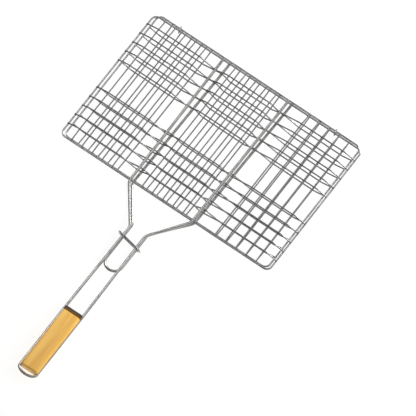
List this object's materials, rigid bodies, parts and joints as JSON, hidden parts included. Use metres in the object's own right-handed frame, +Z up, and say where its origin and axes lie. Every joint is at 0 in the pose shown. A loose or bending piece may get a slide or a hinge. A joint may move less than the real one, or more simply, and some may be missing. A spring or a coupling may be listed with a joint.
{
  "type": "grill basket",
  "caption": "Folding wire grill basket: two hinged wire grids clamp food between them, with a long wood-gripped handle and a sliding latch ring.",
  "frame": {"origin": "bottom centre of the bounding box of the closed basket with its handle, on the surface it lies on", "axes": "+Y from the grip towards the hinge along the handles, +X to the right with the handle towards you, +Z up through the lid"},
  "size_m": [0.3446, 0.5502, 0.0196],
  "materials": {
    "frame_wire": "chrome plated, satin bright",
    "grid_wire": "chrome plated, satin bright",
    "handle_wire": "chrome plated, satin bright",
    "ring_wire": "chrome plated, bright",
    "clip_wire": "chrome plated, satin bright",
    "grip_wood": "light golden hardwood, thin clear varnish",
    "ferrule_steel": "dark brown, semi-matt"
  },
  "bodies": {
    "base": {"base_frame": "frame_wire", "base_grid_wire_01": "grid_wire", "base_grid_wire_02": "grid_wire", "base_grid_wire_03": "grid_wire", "base_grid_wire_04": "grid_wire", "base_grid_wire_05": "grid_wire", "base_grid_wire_06": "grid_wire", "base_grid_wire_07": "grid_wire", "base_grid_wire_08": "grid_wire", "base_grid_wire_09": "grid_wire", "base_grid_wire_10": "grid_wire", "base_grid_wire_11": "grid_wire", "base_grid_wire_12": "grid_wire", "base_grid_wire_13": "grid_wire", "base_grid_wire_14": "grid_wire", "base_grid_wire_15": "grid_wire", "base_cross_wire_01": "grid_wire", "base_cross_wire_02": "grid_wire", "base_cross_wire_03": "grid_wire", "base_cross_wire_04": "grid_wire", "base_cross_wire_05": "grid_wire", "base_cross_wire_06": "grid_wire", "base_cross_wire_07": "grid_wire", "base_cross_wire_08": "grid_wire", "base_cross_wire_09": "grid_wire", "base_cross_wire_10": "grid_wire", "short_handle": "handle_wire"},
    "lid": {"lid_frame": "frame_wire", "lid_grid_wire_01": "grid_wire", "lid_grid_wire_02": "grid_wire", "lid_grid_wire_03": "grid_wire", "lid_grid_wire_04": "grid_wire", "lid_grid_wire_05": "grid_wire", "lid_grid_wire_06": "grid_wire", "lid_grid_wire_07": "grid_wire", "lid_grid_wire_08": "grid_wire", "lid_grid_wire_09": "grid_wire", "lid_grid_wire_10": "grid_wire", "lid_grid_wire_11": "grid_wire", "lid_grid_wire_12": "grid_wire", "lid_grid_wire_13": "grid_wire", "lid_grid_wire_14": "grid_wire", "lid_grid_wire_15": "grid_wire", "lid_cross_wire_01": "grid_wire", "lid_cross_wire_02": "grid_wire", "lid_cross_wire_03": "grid_wire", "lid_cross_wire_04": "grid_wire", "lid_cross_wire_05": "grid_wire", "lid_cross_wire_06": "grid_wire", "lid_cross_wire_07": "grid_wire", "lid_cross_wire_08": "grid_wire", "lid_cross_wire_09": "grid_wire", "lid_cross_wire_10": "grid_wire", "long_handle": "handle_wire", "grip": "grip_wood", "ferrule": "ferrule_steel", "hinge_clip_1": "clip_wire", "hinge_clip_2": "clip_wire"},
    "ring": {"latch_ring": "ring_wire"}
  },
  "joints": [
    {"name": "lid_hinge", "type": "hinge", "parent": "base", "child": "lid", "pos_m": [0, 0.27123, 0.00829], "axis": [-1, 0, 0], "range_deg": [0, 165]},
    {"name": "ring_slide", "type": "slide", "parent": "lid", "child": "ring", "axis": [0, -1, 0], "range_m": [-0.015, 0.12]}
  ]
}
